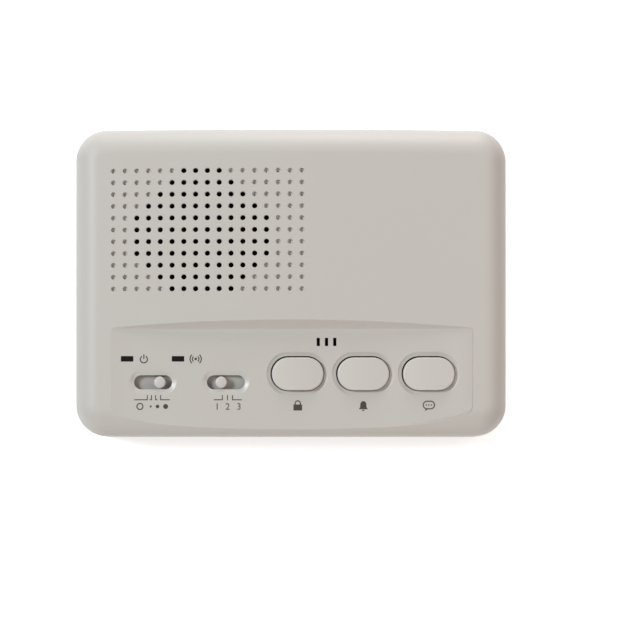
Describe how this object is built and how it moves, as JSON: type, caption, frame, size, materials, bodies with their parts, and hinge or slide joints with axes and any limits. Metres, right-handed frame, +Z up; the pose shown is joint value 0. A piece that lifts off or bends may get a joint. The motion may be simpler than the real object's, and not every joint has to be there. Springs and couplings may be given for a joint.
{
  "type": "desktop intercom station",
  "caption": "Low wedge-shaped desktop intercom station with a perforated loudspeaker grille, push buttons, slide switches and indicator lamps on a flat panel.",
  "frame": {"origin": "on the table, under the middle of the case", "axes": "+X to the user's right along the case, +Y to the back, +Z up"},
  "size_m": [0.1664, 0.1194, 0.0403],
  "materials": {
    "case_plastic": "fine spark-eroded satin, warm light grey",
    "key_plastic": "smoother satin, same warm grey as the case",
    "black_rubber": "dull black",
    "zinc_steel": "bright zinc plate",
    "lamp_lens": "very dark smoked lens, unlit",
    "switch_plastic": "moulded black",
    "leaf_bronze": "rolled strip",
    "capsule_aluminium": "drawn can",
    "black_felt": "woven black cloth",
    "black_card": "pressed ring",
    "pressed_steel": "passivated steel",
    "cone_paper": "pulp cone",
    "surround_cloth": "doped cloth",
    "ferrite": "sintered ferrite",
    "phenolic_board": "phenolic paper board",
    "capacitor_sleeve": "shrunk sleeve",
    "fuse_glass": "glass tube with plated caps",
    "core_steel": "varnished laminations",
    "winding_tape": "yellow polyester tape over copper wire",
    "lead_insulation": "PVC insulation"
  },
  "bodies": {
    "case": {"top_cover": "case_plastic", "base_cover": "case_plastic", "rubber_feet": "black_rubber", "cord_gland": "black_rubber", "microphone_boot": "black_rubber", "case_screws": "zinc_steel", "board_screws": "zinc_steel", "speaker_clip_screws": "zinc_steel", "transformer_screws": "zinc_steel", "speaker_clips": "zinc_steel", "transformer_strap": "zinc_steel", "fuse_clips": "zinc_steel", "volume_switch_frame": "zinc_steel", "channel_switch_frame": "zinc_steel", "coil_cans": "zinc_steel", "power_led": "lamp_lens", "in_use_led": "lamp_lens", "talk_switch_body": "switch_plastic", "call_switch_body": "switch_plastic", "lock_switch_body": "switch_plastic", "transformer_bobbin": "switch_plastic", "ic_chips": "switch_plastic", "talk_return_spring": "leaf_bronze", "call_return_spring": "leaf_bronze", "lock_return_spring": "leaf_bronze", "microphone_capsule": "capsule_aluminium", "grille_felt": "black_felt", "speaker_gasket": "black_card", "speaker_basket": "pressed_steel", "speaker_front_plate": "pressed_steel", "speaker_pole_piece": "pressed_steel", "speaker_surround": "surround_cloth", "speaker_magnet": "ferrite", "circuit_board": "phenolic_board", "speaker_terminals": "phenolic_board", "capacitors": "capacitor_sleeve", "fuse": "fuse_glass", "transformer_core": "core_steel", "transformer_winding": "winding_tape", "speaker_leads": "lead_insulation", "transformer_leads": "lead_insulation"},
    "talk_key": {"talk_button": "key_plastic", "talk_switch_plunger": "switch_plastic"},
    "call_key": {"call_button": "key_plastic", "call_switch_plunger": "switch_plastic"},
    "lock_key": {"lock_button": "key_plastic", "lock_switch_plunger": "switch_plastic"},
    "volume_slider": {"volume_knob": "key_plastic", "volume_switch_slider": "switch_plastic"},
    "channel_slider": {"channel_knob": "key_plastic", "channel_switch_slider": "switch_plastic"},
    "cone": {"speaker_cone": "cone_paper"}
  },
  "joints": [
    {"name": "talk_press", "type": "slide", "parent": "case", "child": "talk_key", "axis": [0, 0.0872, -0.9962], "range_m": [0, 0.002], "stiffness_N_per_m": 400, "springref_m": -0.002, "deforming": ["talk_return_spring"]},
    {"name": "call_press", "type": "slide", "parent": "case", "child": "call_key", "axis": [0, 0.0872, -0.9962], "range_m": [0, 0.002], "stiffness_N_per_m": 400, "springref_m": -0.002, "deforming": ["call_return_spring"]},
    {"name": "lock_press", "type": "slide", "parent": "case", "child": "lock_key", "axis": [0, 0.0872, -0.9962], "range_m": [0, 0.002], "stiffness_N_per_m": 400, "springref_m": -0.002, "deforming": ["lock_return_spring"]},
    {"name": "volume_slide", "type": "slide", "parent": "case", "child": "volume_slider", "axis": [1, 0, 0], "range_m": [-0.00525, 0]},
    {"name": "channel_slide", "type": "slide", "parent": "case", "child": "channel_slider", "axis": [1, 0, 0], "range_m": [0, 0.0035]},
    {"name": "cone_stroke", "type": "slide", "parent": "case", "child": "cone", "axis": [0, -0.0872, 0.9962], "range_m": [-0.0004, 0.0004], "stiffness_N_per_m": 1500, "deforming": ["speaker_surround"]}
  ]
}
